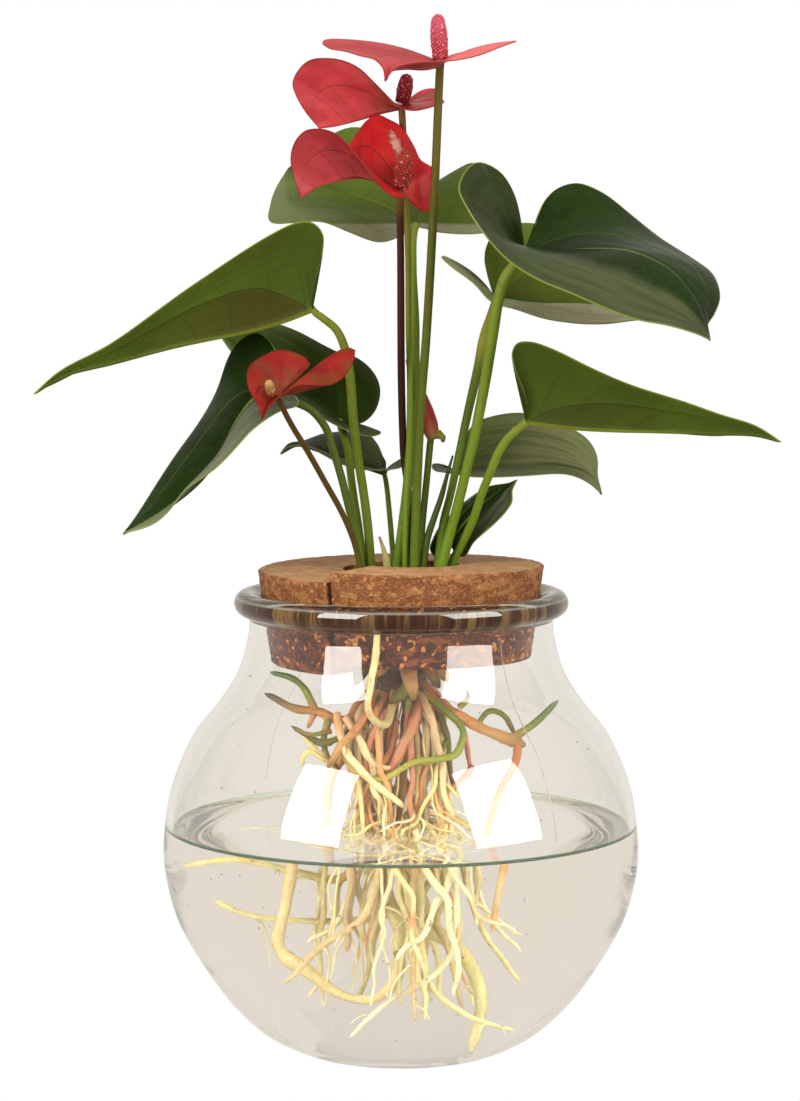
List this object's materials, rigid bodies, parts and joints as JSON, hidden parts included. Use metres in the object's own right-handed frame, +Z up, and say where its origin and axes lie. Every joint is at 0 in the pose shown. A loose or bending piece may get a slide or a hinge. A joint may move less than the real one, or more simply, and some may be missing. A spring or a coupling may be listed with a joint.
{
  "type": "potted anthurium in a glass vase",
  "caption": "Flowering anthurium grown in water: heart-shaped leaves, red spathes and knobbly spadices on slender stalks, held by a slit cork collar in a round glass vase, roots in the water.",
  "frame": {"origin": "centre of the vase's flat underside", "axes": "+Z up along the vase, -Y towards the front, +X to the right"},
  "size_m": [0.2938, 0.1898, 0.4104],
  "materials": {
    "glass": "clear gloss with a faint green tint",
    "water": "clear, with a faint grey-green tint",
    "cork": "matte pressed cork granules",
    "roots": "damp living root, from pale yellow to pinkish brown",
    "leaf_green": "satin living leaf",
    "leaf_dark": "glossy dark living leaf",
    "stalk_green": "satin living stalk",
    "stalk_red": "satin living stalk, red-brown",
    "spathe_red": "glossy waxy red",
    "spadix_pink": "matte, knobbly, pink",
    "spadix_red": "matte, knobbly, crimson to brown-red",
    "sheath_green": "papery, green to brown"
  },
  "bodies": {
    "root": {"vase": "glass", "water": "water", "cork_collar": "cork", "crown_and_roots": "roots", "leaf_1_stalk": "stalk_green", "leaf_1_blade": "leaf_green", "leaf_2_stalk": "stalk_green", "leaf_2_blade": "leaf_dark", "leaf_3_stalk": "stalk_green", "leaf_3_blade": "leaf_green", "leaf_4_stalk": "stalk_green", "leaf_4_blade": "leaf_green", "leaf_5_stalk": "stalk_green", "leaf_5_blade": "leaf_green", "leaf_6_stalk": "stalk_green", "leaf_6_blade": "leaf_dark", "leaf_7_stalk": "stalk_green", "leaf_7_blade": "leaf_green", "leaf_8_stalk": "stalk_green", "leaf_8_blade": "leaf_green", "leaf_9_stalk": "stalk_green", "leaf_9_blade": "leaf_green", "leaf_10_stalk": "stalk_green", "leaf_10_blade": "leaf_dark", "bloom_1_stalk": "stalk_green", "bloom_1_spathe": "spathe_red", "bloom_1_spadix": "spadix_pink", "bloom_2_stalk": "stalk_green", "bloom_2_spathe": "spathe_red", "bloom_2_spadix": "spadix_red", "bloom_3_stalk": "stalk_red", "bloom_3_spathe": "spathe_red", "bloom_3_spadix": "spadix_red", "bloom_4_stalk": "stalk_red", "bloom_4_spathe": "spathe_red", "bloom_4_spadix": "spadix_red", "bud_stalk": "stalk_green", "bud_spathe": "spathe_red", "sheath_1": "sheath_green", "sheath_2": "sheath_green"}
  },
  "joints": []
}
